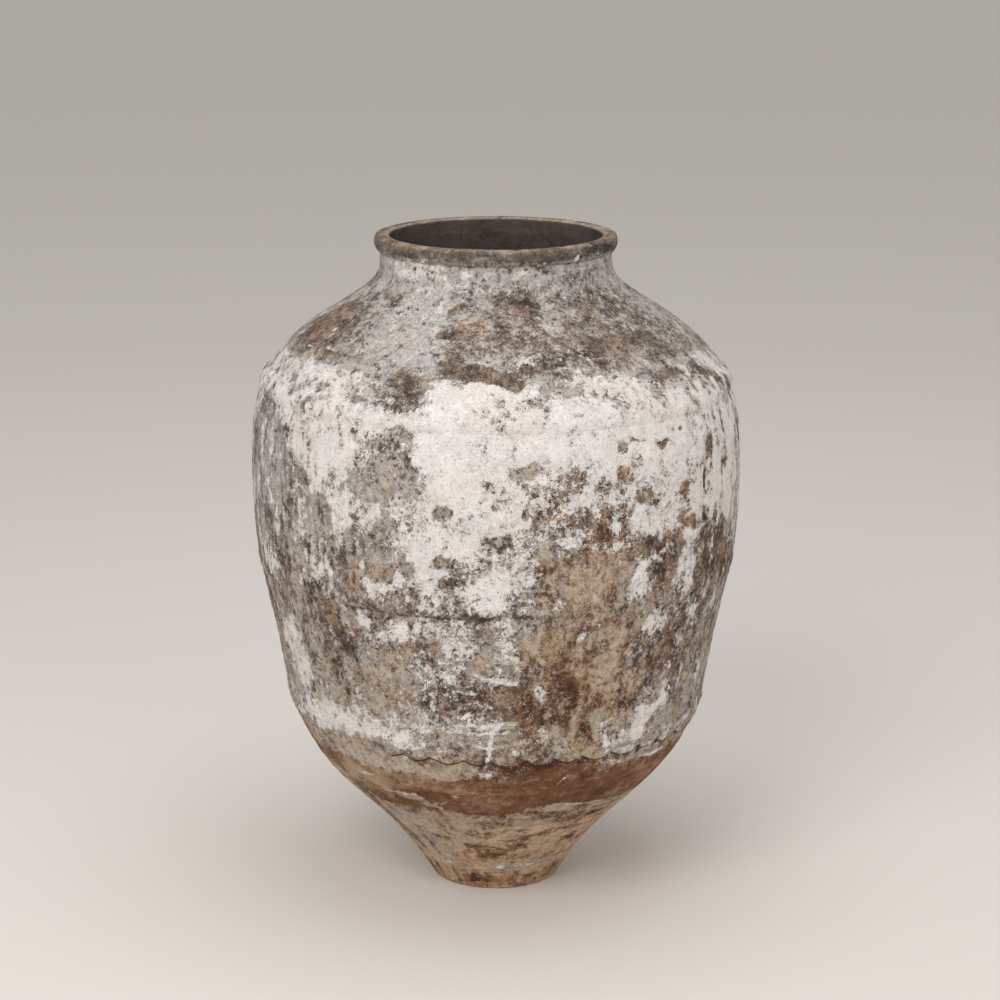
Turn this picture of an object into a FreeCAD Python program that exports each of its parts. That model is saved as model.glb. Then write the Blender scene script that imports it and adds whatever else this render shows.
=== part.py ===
import FreeCAD, Part
import math
import os

# A tall earthenware olive jar, built as the potter raises it: a base disc, six rings of wall, each luted
# onto the rounded top edge of the one below, a rolled rim, and three clay bands pressed over the main joints.
# Millimetres. Z is the jar's axis, and the jar stands on Z = 0.

Vector = FreeCAD.Vector
axis_origin = Vector(0, 0, 0)
axis_direction = Vector(0, 0, 1)
full_turn = 360.0

# Heights of the stages, one above the other
floor_thickness = 18.0
foot_height = 100.0
lower_wall_height = 127.0
lower_belly_height = 184.0
upper_belly_height = 227.0
shoulder_height = 130.0
neck_height = 24.0
rim_height = 20.0

# Outside radii of the wall, at the joints and between them
base_radius = 81.0
foot_middle_radius = 121.5
foot_top_radius = 176.5
lower_wall_middle_radius = 232.5
lower_wall_top_radius = 261.2
lower_belly_middle_radius = 279.0
lower_belly_top_radius = 298.5
belly_radius = 305.4
shoulder_base_radius = 287.2
shoulder_crown_radius = 241.0
neck_root_radius = 172.0

# Where the shoulder turns over, and where it turns up into the neck
shoulder_crown_rise = 55.0
neck_root_drop = 28.0

# The upright mouth, and the clay round it at the bottom and the top of the neck
mouth_radius = 131.0
neck_base_wall = 15.0
neck_wall = 13.5

# Wall and joints
wall_thickness = 14.0
joint_crown = 3.5
base_edge_round = 3.0
wall_stations = 28

# Rolled rim, past the neck
rim_projection = 5.8
rim_widest_drop = 10.0
rim_top_inset = 2.6
rim_edge_round = 4.0
rim_inner_round = 4.0

# Bands: the film of slip that each is pressed onto, and how many stations draw its bulge
slip_film = 0.3
band_stations = 9

# Lower band: lobed along its lower edge, one thumb dent above each lobe
lower_band_height = 33.0
lower_band_projection = 6.5
lower_band_lip = 11.0
lobe_count = 43
lobe_rise = 6.0
lobe_land = 1.5
lower_dent_radius = 26.0
lower_dent_depth = 2.2

# Middle band: a plain ridge
middle_band_height = 28.0
middle_band_projection = 3.6
middle_band_lip = 9.0

# Shoulder band: dented by the thumb all the way round
shoulder_band_height = 30.0
shoulder_band_projection = 6.0
shoulder_band_lip = 12.0
shoulder_dent_count = 50
shoulder_dent_radius = 22.0
shoulder_dent_depth = 2.6

# Heights of the joints above the ground
floor_level = floor_thickness
foot_joint = floor_level + foot_height
lower_joint = foot_joint + lower_wall_height
middle_joint = lower_joint + lower_belly_height
shoulder_joint = middle_joint + upper_belly_height
neck_joint = shoulder_joint + shoulder_height
rim_joint = neck_joint + neck_height
mouth_level = rim_joint + rim_height

# Outside radii of the neck
neck_base_radius = mouth_radius + neck_base_wall
neck_radius = mouth_radius + neck_wall


def profile_point(radius, height):
    return Vector(radius, 0, height)


def halfway(first, second):
    return (first + second) / 2


def curve_through(points):
    curve = Part.BSplineCurve()
    curve.interpolate(points)
    return curve


def line(first, second):
    return Part.LineSegment(first, second).toShape()


def arc(first, middle, last):
    return Part.Arc(first, middle, last).toShape()


def quarter_arc(first, last, centre):
    """A quarter circle between two points at equal distance from the centre."""
    outwards = (first - centre) + (last - centre)
    outwards.normalize()
    return arc(first, centre + outwards * (first - centre).Length, last)


def revolve(edges):
    """Turn a closed profile once round the jar's axis."""
    face = Part.Face(Part.Wire(Part.__sortEdges__(edges)))
    solid = face.revolve(axis_origin, axis_direction, full_turn)
    return solid if solid.Volume > 0 else solid.reversed()


def round_copies(solid, count):
    """Copies of a solid, evenly spaced round the jar."""
    copies = []
    for index in range(count):
        copy = solid.copy()
        copy.rotate(axis_origin, axis_direction, full_turn * index / count)
        copies.append(copy)
    return copies


def outer_profile():
    """The outside of the wall, from the ground to the foot of the rim."""
    return curve_through([
        profile_point(base_radius, 0),
        profile_point(foot_middle_radius, halfway(0, foot_joint)),
        profile_point(foot_top_radius, foot_joint),
        profile_point(lower_wall_middle_radius, halfway(foot_joint, lower_joint)),
        profile_point(lower_wall_top_radius, lower_joint),
        profile_point(lower_belly_middle_radius, halfway(lower_joint, middle_joint)),
        profile_point(lower_belly_top_radius, middle_joint),
        profile_point(belly_radius, halfway(middle_joint, shoulder_joint)),
        profile_point(shoulder_base_radius, shoulder_joint),
        profile_point(shoulder_crown_radius, shoulder_joint + shoulder_crown_rise),
        profile_point(neck_root_radius, neck_joint - neck_root_drop),
        profile_point(neck_base_radius, neck_joint),
        profile_point(neck_radius, rim_joint),
    ])


def inwards(curve, parameter):
    """The direction into the clay, square to the outside of the wall."""
    tangent = curve.tangent(parameter)[0]
    return Vector(-tangent.z, 0, tangent.x)


def inside_point(curve, parameter):
    return curve.value(parameter) + inwards(curve, parameter) * wall_thickness


def parameter_at(curve, height):
    """Where a profile curve passes a height."""
    level = Part.Plane(Vector(0, 0, height), axis_direction)
    crossing = curve.intersect(level)[0][0]
    return curve.parameter(Vector(crossing.X, crossing.Y, crossing.Z))


def inner_profile(outside):
    """The inside of the wall, one wall thickness in from the outside, up to the upright mouth."""
    first = outside.FirstParameter
    step = (parameter_at(outside, neck_joint) - first) / wall_stations
    stations = [inside_point(outside, first + step * index) for index in range(wall_stations)]
    return curve_through(stations + [profile_point(mouth_radius, neck_joint)])


outside = outer_profile()
inside = inner_profile(outside)


def crowned_edge(inner_end, outer_end, upwards):
    """The rounded edge across the wall at a joint."""
    crown = (inner_end + outer_end) * 0.5 + upwards * joint_crown
    return arc(inner_end, crown, outer_end)


def leaning_joint(height):
    """A joint square to the curved wall: its edge and the two ends of it."""
    parameter = parameter_at(outside, height)
    outer_end = outside.value(parameter)
    inner_end = inside.value(inside.parameter(inside_point(outside, parameter)))
    return crowned_edge(inner_end, outer_end, outside.tangent(parameter)[0]), inner_end, outer_end


def upright_joint(height, outer_radius):
    """A joint across the neck: its edge and the two ends of it."""
    inner_end = profile_point(mouth_radius, height)
    outer_end = profile_point(outer_radius, height)
    return crowned_edge(inner_end, outer_end, axis_direction), inner_end, outer_end


def floor_joint():
    """The flat seat of the foot on the base disc: its edge and the two ends of it."""
    inner_end = inside.value(parameter_at(inside, floor_level))
    outer_end = outside.value(parameter_at(outside, floor_level))
    return line(inner_end, outer_end), inner_end, outer_end


def wall_ring(low_joint, high_joint):
    """A ring of curved wall between two joints, seated on the edge of the ring under it."""
    low_edge, low_inner, low_outer = low_joint
    high_edge, high_inner, high_outer = high_joint
    inner_edge = inside.toShape(inside.parameter(low_inner), inside.parameter(high_inner))
    outer_edge = outside.toShape(outside.parameter(low_outer), outside.parameter(high_outer))
    return revolve([low_edge, inner_edge, high_edge, outer_edge])


def neck_collar():
    """The short neck: waisted outside, upright inside."""
    low_edge, low_inner, low_outer = upright_joint(neck_joint, neck_base_radius)
    high_edge, high_inner, high_outer = upright_joint(rim_joint, neck_radius)
    outer_edge = outside.toShape(outside.parameter(low_outer), outside.parameter(high_outer))
    return revolve([low_edge, line(low_inner, high_inner), high_edge, outer_edge])


def base_disc():
    """The flat disc under the jar, with its lower edge rounded."""
    top_outer = outside.value(parameter_at(outside, floor_level))
    foot_edge = outside.toShape(outside.FirstParameter, outside.parameter(top_outer))
    ground_centre = profile_point(0, 0)
    top_centre = profile_point(0, floor_level)
    disc = revolve([
        line(ground_centre, outside.StartPoint),
        foot_edge,
        line(top_outer, top_centre),
        line(top_centre, ground_centre),
    ])
    ground_edges = [edge for edge in disc.Edges if edge.BoundBox.ZMax < base_edge_round and edge.isClosed()]
    return disc.makeFillet(base_edge_round, ground_edges)


def upright_arc(widest, end):
    """An arc that leaves the rim's widest point upright and curves in to a point above or below it."""
    inset = widest.x - end.x
    climb = end.z - widest.z
    radius = (inset ** 2 + climb ** 2) / (2 * inset)
    half_angle = math.asin(climb / radius) / 2
    middle = profile_point(
        widest.x - radius * (1 - math.cos(half_angle)),
        widest.z + radius * math.sin(half_angle),
    )
    return arc(widest, middle, end)


def rim_roll():
    """The rolled lip: an upright mouth, a level top, and a full outer face that tucks in to the neck."""
    low_edge, low_inner, low_outer = upright_joint(rim_joint, neck_radius)
    widest = profile_point(neck_radius + rim_projection, mouth_level - rim_widest_drop)
    mouth_high = profile_point(mouth_radius, mouth_level - rim_inner_round)
    top_inner = profile_point(mouth_radius + rim_inner_round, mouth_level)
    top_outer = profile_point(widest.x - rim_top_inset, mouth_level)
    lip = revolve([
        low_edge,
        line(low_inner, mouth_high),
        quarter_arc(mouth_high, top_inner, profile_point(top_inner.x, mouth_high.z)),
        line(top_inner, top_outer),
        upright_arc(widest, top_outer),
        upright_arc(widest, low_outer),
    ])
    high_edges = [edge for edge in lip.Edges if edge.isClosed() and edge.BoundBox.ZMin > widest.z]
    outer_edge = max(high_edges, key=lambda edge: edge.BoundBox.XMax)
    return lip.makeFillet(rim_edge_round, [outer_edge])


def point_off_wall(height, distance):
    """A point out from the wall, square to its outside."""
    parameter = parameter_at(outside, height)
    return outside.value(parameter) - inwards(outside, parameter) * distance


def bulge(rise, band_height, projection, lip):
    """How thick a band is at a height above its low edge: a full lip, then smoothed away upwards."""
    quarter_turn = math.pi / 2
    if rise < lip:
        return projection * math.sin(quarter_turn * rise / lip)
    return projection * math.cos(quarter_turn * (rise - lip) / (band_height - lip))


def plain_band(joint_height, band_height, projection, lip):
    """A strip of clay over a joint, pressed onto the wall all the way up."""
    low_height = joint_height - band_height / 2
    seats, crests = [], []
    for index in range(band_stations + 1):
        rise = band_height * index / band_stations
        thickness = bulge(rise, band_height, projection, lip)
        seats.append(point_off_wall(low_height + rise, slip_film))
        crests.append(point_off_wall(low_height + rise, slip_film + thickness))
    return revolve([curve_through(seats).toShape(), curve_through(crests).toShape()])


def thumb_dents(joint_height, band_height, projection, lip, dent_radius, dent_depth, count):
    """Balls that press a dent into a band's crest, all the way round."""
    crest_height = joint_height - band_height / 2 + lip
    ball_centre = point_off_wall(crest_height, slip_film + projection + dent_radius - dent_depth)
    return round_copies(Part.makeSphere(dent_radius, ball_centre), count)


def lobe_notches():
    """Pointed notches along the lower band's lower edge, which leave a round lobe between each pair."""
    low_end = outside.value(parameter_at(outside, lower_joint - lower_band_height / 2))
    half_width = (math.pi * low_end.x / lobe_count) - lobe_land / 2
    lobe_radius = (half_width ** 2 + lobe_rise ** 2) / (2 * lobe_rise)
    half_angle = math.asin(half_width / lobe_radius) / 2
    bow_out = lobe_radius * math.sin(half_angle)
    bow_up = lobe_radius * (1 - math.cos(half_angle))

    def notch_point(across, up):
        return Vector(low_end.x - wall_thickness, across, low_end.z + up)

    cusp = notch_point(0, lobe_rise)
    left, right = notch_point(-half_width, 0), notch_point(half_width, 0)
    left_low, right_low = notch_point(-half_width, -lobe_rise), notch_point(half_width, -lobe_rise)
    outline = Part.Wire([
        arc(left, notch_point(bow_out - half_width, bow_up), cusp),
        arc(cusp, notch_point(half_width - bow_out, bow_up), right),
        line(right, right_low),
        line(right_low, left_low),
        line(left_low, left),
    ])
    reach = 2 * wall_thickness + lower_band_projection
    notch = Part.Face(outline).extrude(Vector(reach, 0, 0))
    notch.rotate(axis_origin, axis_direction, full_turn / lobe_count / 2)
    return round_copies(notch, lobe_count)


def lower_band():
    form = (lower_joint, lower_band_height, lower_band_projection, lower_band_lip)
    dents = thumb_dents(*form, lower_dent_radius, lower_dent_depth, lobe_count)
    return plain_band(*form).cut(lobe_notches()).cut(dents)


def middle_band():
    return plain_band(middle_joint, middle_band_height, middle_band_projection, middle_band_lip)


def shoulder_band():
    form = (shoulder_joint, shoulder_band_height, shoulder_band_projection, shoulder_band_lip)
    dents = thumb_dents(*form, shoulder_dent_radius, shoulder_dent_depth, shoulder_dent_count)
    return plain_band(*form).cut(dents)


def single_solid(shape):
    return shape.Solids[0] if len(shape.Solids) == 1 else shape


pieces = {
    "base_disc": base_disc(),
    "foot_cone": wall_ring(floor_joint(), leaning_joint(foot_joint)),
    "lower_wall": wall_ring(leaning_joint(foot_joint), leaning_joint(lower_joint)),
    "lower_belly": wall_ring(leaning_joint(lower_joint), leaning_joint(middle_joint)),
    "upper_belly": wall_ring(leaning_joint(middle_joint), leaning_joint(shoulder_joint)),
    "shoulder": wall_ring(leaning_joint(shoulder_joint), upright_joint(neck_joint, neck_base_radius)),
    "neck_collar": neck_collar(),
    "rim_roll": rim_roll(),
    "lower_band": lower_band(),
    "middle_band": middle_band(),
    "shoulder_band": shoulder_band(),
}

os.makedirs("parts", exist_ok=True)
for name, shape in pieces.items():
    single_solid(shape).exportStep("parts/" + name + ".step")
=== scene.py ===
import math
import bmesh
import bpy
import numpy as np
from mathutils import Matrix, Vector


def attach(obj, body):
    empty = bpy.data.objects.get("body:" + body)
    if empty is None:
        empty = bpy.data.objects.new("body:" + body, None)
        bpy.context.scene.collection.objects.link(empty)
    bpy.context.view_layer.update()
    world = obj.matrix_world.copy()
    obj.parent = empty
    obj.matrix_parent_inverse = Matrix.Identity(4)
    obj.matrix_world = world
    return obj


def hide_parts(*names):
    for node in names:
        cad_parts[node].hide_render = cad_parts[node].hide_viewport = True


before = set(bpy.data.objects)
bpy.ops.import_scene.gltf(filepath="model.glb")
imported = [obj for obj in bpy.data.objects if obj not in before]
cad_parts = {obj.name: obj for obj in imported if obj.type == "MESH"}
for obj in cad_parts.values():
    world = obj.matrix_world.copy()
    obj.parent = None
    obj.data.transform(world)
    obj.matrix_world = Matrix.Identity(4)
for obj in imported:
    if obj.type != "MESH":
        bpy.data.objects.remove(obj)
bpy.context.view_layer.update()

mm = 0.001
scene = bpy.context.scene

# The wall: (radius, height) of its outside in millimetres, the joints between its rings, and its thickness
jarWall = {
    "outside": [(81, 0), (121.5, 59), (176.5, 118), (232.5, 181.5), (261.2, 245), (279, 337), (298.5, 429),
                (305.4, 542.5), (287.2, 656), (241, 711), (172, 758), (146, 786), (144.5, 810)],
    "joints": {"floor": 18, "foot": 118, "lower": 245, "middle": 429, "shoulder": 656, "neck": 786,
               "rim": 810},
    "thickness": 14,
    "mouthRadius": 131,
    "mouthDepth": 55,
    "height": 830,
}
joints = jarWall["joints"]
footRadius = jarWall["outside"][0][0]
neckRadius = jarWall["outside"][-1][0]
mouthRadius = jarWall["mouthRadius"]
rimTop = jarWall["height"]


def naturalSpline(stations, count):
    knots = np.array(stations, float)
    along = np.concatenate(([0], np.cumsum(np.linalg.norm(np.diff(knots, axis=0), axis=1))))
    step = np.diff(along)
    last = len(along) - 1
    system = np.eye(len(along))
    side = np.zeros_like(knots)
    for i in range(1, last):
        system[i, i - 1:i + 2] = step[i - 1], 2 * (step[i - 1] + step[i]), step[i]
        side[i] = 6 * ((knots[i + 1] - knots[i]) / step[i] - (knots[i] - knots[i - 1]) / step[i - 1])
    bend = np.linalg.solve(system, side)
    at = np.linspace(0, along[-1], count)
    i = np.clip(np.searchsorted(along, at, side="right") - 1, 0, last - 1)
    width = step[i][:, None]
    a = (along[i + 1] - at)[:, None] / width
    b = 1 - a
    bow = (a**3 - a) * bend[i] + (b**3 - b) * bend[i + 1]
    return a * knots[i] + b * knots[i + 1] + bow * width**2 / 6


outline = naturalSpline(jarWall["outside"], 6000)
outlineRun = np.gradient(outline, axis=0)
outlineRun /= np.linalg.norm(outlineRun, axis=1)[:, None]
outlineOut = np.stack((outlineRun[:, 1], -outlineRun[:, 0]), axis=1)  # square to the wall, outwards
outlineLength = np.concatenate(([0], np.cumsum(np.linalg.norm(np.diff(outline, axis=0), axis=1))))
innerLine = outline - outlineOut * jarWall["thickness"]
inMouth = innerLine[:, 1] > rimTop - jarWall["mouthDepth"]
innerLine[:, 0] = np.where(inMouth, np.maximum(innerLine[:, 0], mouthRadius), innerLine[:, 0])


def wallRadius(height):
    return np.interp(height, outline[:, 1], outline[:, 0])


def wallOut(height):
    return [np.interp(height, outline[:, 1], outlineOut[:, side]) for side in (0, 1)]


def heightsBetween(low, high, spacing):
    first, last = np.interp((low, high), outline[:, 1], outlineLength)
    count = max(2, int(round((last - first) / spacing)))
    return np.interp(np.linspace(first, last, count + 1), outlineLength, outline[:, 1])


# Soft noise that depends on place alone, so that neighbouring rings meet
def cloud(points, size, seed):
    draw = np.random.default_rng(seed)
    slopes = draw.normal(size=(3, 256)).astype(np.float32)
    slopes /= np.linalg.norm(slopes, axis=0)
    order = draw.permutation(256).astype(np.int32)
    place = (points / size + draw.uniform(0, 64, 3)).T
    cell = np.floor(place).astype(np.int32)
    inside = (place - cell).astype(np.float32)
    ease = inside**3 * (inside * (inside * 6 - 15) + 10)
    total = np.zeros(len(points), np.float32)
    for corner in np.ndindex(2, 2, 2):
        a, b, c = corner
        key = order[(order[(order[(cell[0] + a) & 255] + cell[1] + b) & 255] + cell[2] + c) & 255]
        weight, rise = 1, 0
        for side, far in enumerate(corner):
            weight = weight * (ease[side] if far else 1 - ease[side])
            rise = rise + (inside[side] - far) * slopes[side][key]
        total += weight * rise
    return total * 1.6


def clouds(points, size, layers, gain, seed):
    total = np.zeros(len(points), np.float32)
    strength, power = 1.0, 0.0
    for layer in range(layers):
        total += strength * cloud(points, size / 2**layer, seed + layer)
        power += strength**2
        strength *= gain
    return total / math.sqrt(power)


def smooth(value, low, high):
    share = np.clip((value - low) / (high - low), 0, 1)
    return share * share * (3 - 2 * share)


def within(value, start, full, fade, end):  # rises from start to full, falls from fade to end
    return smooth(value, start, full) * (1 - smooth(value, fade, end))


# Finishes, from low to high levels, with angle 0 facing the camera. byHeight is (height, level).
# A spot is (angle, height, half width in degrees, half height in mm, level), and a later one lies over it.
# A sweep is (angle, height, angle, height, half width in mm, level).
limeCrust = {
    "seed": 100, "grain": 0.5, "grainSize": 40, "layers": 4, "patch": 0.5,
    "byHeight": [
        (0, -0.9), (45, -0.7), (95, -0.7), (150, -0.9), (205, -0.7), (216, -0.4), (232, -0.35), (246, -0.1),
        (300, -0.05), (340, -0.2), (420, -0.2), (440, -0.05), (500, 0.1), (560, 0.25), (620, 0.35),
        (650, 0.3), (688, 0.25), (700, -0.3), (760, -0.35), (790, -0.2), (810, -0.15), (814, -0.2),
        (818, -0.6), (830, -0.8),
    ],
    "spots": [
        (-36, 799, 30, 12, 0.2), (12, 798, 12, 13, -0.1), (52, 796, 24, 13, -0.35), (-12, 815, 14, 6, -0.2),
        (41, 822, 1.6, 3.5, 0.9), (-70, 728, 14, 24, -0.8), (-53, 706, 5, 6, -0.6), (-39, 728, 4, 4, -0.5),
        (-61.5, 724, 2.5, 5, 0.35), (-66.5, 708, 4, 2.5, 0.3), (-32, 742, 12, 40, 0.03),
        (-17, 761, 5, 6, -0.9), (-16, 745, 5, 4, -0.8), (-8, 744, 5, 5, -0.8), (-1, 736, 10, 18, -0.5),
        (8, 768, 10, 14, -0.5), (20.6, 756, 5, 18, -0.3), (38.6, 723, 9, 8, -0.7), (54, 721, 6, 6, -0.5),
        (50, 746, 18, 20, -0.3), (50.4, 686, 6, 6, -0.5), (65, 682, 5, 7, -0.4), (24, 698.6, 4, 5, 0.4),
        (9.6, 714, 6, 3.5, 0.2), (-50, 677, 15, 20, 0.25), (-70, 668, 9, 15, 0.2), (-25, 676, 8, 20, -0.15),
        (-32.6, 692, 3, 4, -0.5), (-22.7, 696, 5, 5, -0.5), (-17.9, 687, 3, 4, -0.45),
        (-7, 673, 10, 20, 0.42), (17, 690, 6, 7, -0.3), (24.5, 690, 3, 5, 0.5), (30, 672, 10, 20, 0.32),
        (47, 665, 6, 12, 0.05), (64, 666, 7, 10, 0.3), (-26, 590, 7.5, 34, -0.3), (-27, 625, 5, 4, -0.3),
        (-18.5, 606, 2.6, 18, -0.25), (-22, 631, 5, 7, -0.3), (-24.5, 612, 1.8, 3.5, 0.15),
        (-17.4, 613, 1.4, 9, 0.5), (-33, 566, 4, 4, -0.5), (-8, 612, 9, 58, 0.75), (20, 630, 18, 28, 0.62),
        (55, 610, 18, 60, 0.45), (-40, 600, 6, 38, 0.45), (-52, 600, 7, 40, 0.1), (-68, 590, 11, 60, -0.12),
        (7, 601, 4, 9, -0.4), (14, 585, 8, 24, 0.02), (28, 591, 1.6, 18, -0.35), (42, 570, 11, 40, 0.4),
        (30, 624, 1.2, 5, -0.3), (33.2, 624, 1.6, 3, -0.3), (40.7, 620, 2, 4, -0.3),
        (46.4, 629, 1, 4, -0.5), (58.3, 596, 1.5, 13, -0.35), (55.2, 559, 1, 14, -0.4),
        (46.3, 559, 1.8, 14, -0.25), (-62, 500, 14, 55, -0.15), (-44, 525, 4, 22, -0.3),
        (-36.5, 530, 2.5, 34, 0.4), (-30, 500, 8, 40, -0.3), (-28.4, 538, 2.4, 15, 0.45),
        (-32, 483, 1.6, 14, 0.4), (-28, 456, 4, 9, 0.35), (-21, 503, 2, 14, 0.4), (-22, 466, 1.6, 6, 0.3),
        (-14, 500, 4.5, 60, 0.5), (-19, 477, 2.2, 12, -0.35), (-11, 548, 2.4, 7, -0.2),
        (-10.7, 488, 2, 6, -0.35), (-9, 464, 2.4, 9, -0.4), (-4, 505, 5, 18, 0.42), (-3, 455, 6, 24, 0.65),
        (4, 540, 5, 25, 0.5), (6, 544, 1.2, 7, -0.5), (0, 513, 3, 10, -0.12), (5, 470, 5, 32, 0.45),
        (11.8, 487, 3, 8, -0.45), (20, 462, 11, 42, -0.45), (14, 525, 4, 25, 0.08),
        (25.2, 526, 2.4, 22, -0.45), (30.2, 527, 2.6, 15, -0.5), (27.6, 532, 1.2, 16, 0.5),
        (20, 544, 1.4, 6, -0.5), (37, 528, 6, 22, 0.45), (36.1, 555, 2.2, 9, -0.25),
        (33.2, 540, 1, 5, -0.25), (36.4, 495, 4.5, 8, -0.45), (34, 459, 3.2, 24, 0.55),
        (30, 467, 1.5, 8, -0.4), (42.8, 471, 4, 30, -0.4), (49.6, 490, 2.6, 48, 0.5),
        (49, 514, 4, 8, -0.15), (64, 530, 11, 34, 0.4), (59.5, 508, 1.4, 7, -0.5), (61, 452, 10, 20, -0.4),
        (56.5, 480, 2, 22, -0.45), (65, 484, 2.4, 26, -0.45), (70, 470, 2, 20, -0.3),
        (76, 505, 1.5, 30, -0.4), (-50, 405, 14, 28, -0.45), (-62, 340, 7, 45, 0.32),
        (-40, 355, 8, 40, -0.5), (-30, 330, 10, 45, -0.35), (-50, 325, 3.5, 17, -0.6),
        (-23, 398, 4, 14, 0.32), (-32, 405, 2.5, 6, 0.25), (-17, 405, 3, 18, 0.4), (-10, 385, 8, 40, 0.05),
        (-9, 315, 9, 26, -0.2), (3, 392, 3, 28, 0.35), (-5, 262, 12, 16, -0.4), (-42, 266, 22, 20, 0.38),
        (-15, 285, 5, 14, 0.05), (5, 300, 5, 45, -0.55), (22, 340, 13, 90, -0.55), (41, 392, 3.4, 20, 0.4),
        (54.5, 392, 1.8, 10, 0.35), (58, 408, 1.6, 7, 0.3), (50, 350, 12, 42, -0.35),
        (49, 325, 1.6, 6, 0.3), (28, 272, 3, 18, 0.05), (34.6, 256, 3, 9, 0.2), (41, 267, 4, 16, 0.55),
        (48, 288, 3, 11, 0.4), (33.5, 268, 1.6, 9, -0.6), (45.5, 262, 3, 8, -0.3), (60, 265, 8, 25, -0.2),
        (45, 228, 10, 7, 0.05), (-33, 236, 12, 5, -0.25), (0, 180, 70, 22, -0.95),
        (8.3, 325, 2.8, 50, -0.35), (33.3, 268, 2.4, 10, -0.6), (29.6, 258, 1.6, 8, 0.35),
        (20.3, 390, 0.9, 10, 0.3), (10.8, 328, 1.6, 6, 0.2), (15.6, 428, 1.6, 8, 0.1),
        (-8.5, 295, 1.5, 2.6, 0.5), (-2.7, 309, 1.3, 2.6, 0.45), (0.2, 352, 0.6, 5, 0.5),
        (-27, 213, 20, 6, -0.3), (-3, 210, 5, 4, -0.05),
    ],
    "sweeps": [
        (-1, 284, -1, 262, 2.2, 0.2), (-1, 262, -2, 236, 2.6, 0.25), (-58, 712, -52, 713, 2, 0.1),
        (-46, 189, -39, 190, 3, 0.1), (16.6, 196, 19.8, 205, 1.3, 0.6), (17, 157, 38, 151, 2, 0.0),
        (32, 230, 58, 246, 2, 0.05), (-12, 709, 9, 690, 7, -0.9), (-8.1, 358, -3.4, 343, 2.2, 0.25),
        (-3.4, 343, 1, 338, 2.6, 0.4), (1, 338, 4.8, 335, 2, 0.35), (-2.7, 395, -0.9, 379, 2.4, 0.1),
        (-0.9, 379, 2.1, 367, 2.6, 0.15), (2.1, 367, 5.2, 366, 2.2, 0.1), (-5, 285, 3, 283, 1.2, 0.1),
        (-4.5, 279, 3, 277, 1.2, 0.1), (-11, 331, -5, 322, 1.4, 0.1), (-30, 171, -24, 170, 3, 0.05),
        (50.3, 296, 44, 274, 6, 0.5), (44, 274, 38, 250, 8, 0.5), (33.4, 216, 49.3, 212, 2.4, 0.2),
        (49.3, 212, 59, 210, 2.6, 0.3), (51, 234, 68, 251, 3, 0.2), (-34, 41, 30, 38, 3.2, 0.0),
        (-13, 274, 2, 271, 1.6, 0.2), (-9, 282, 4, 281, 1.5, 0.2), (-15, 260, 0, 256, 1.5, 0.1),
    ],
}
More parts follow.
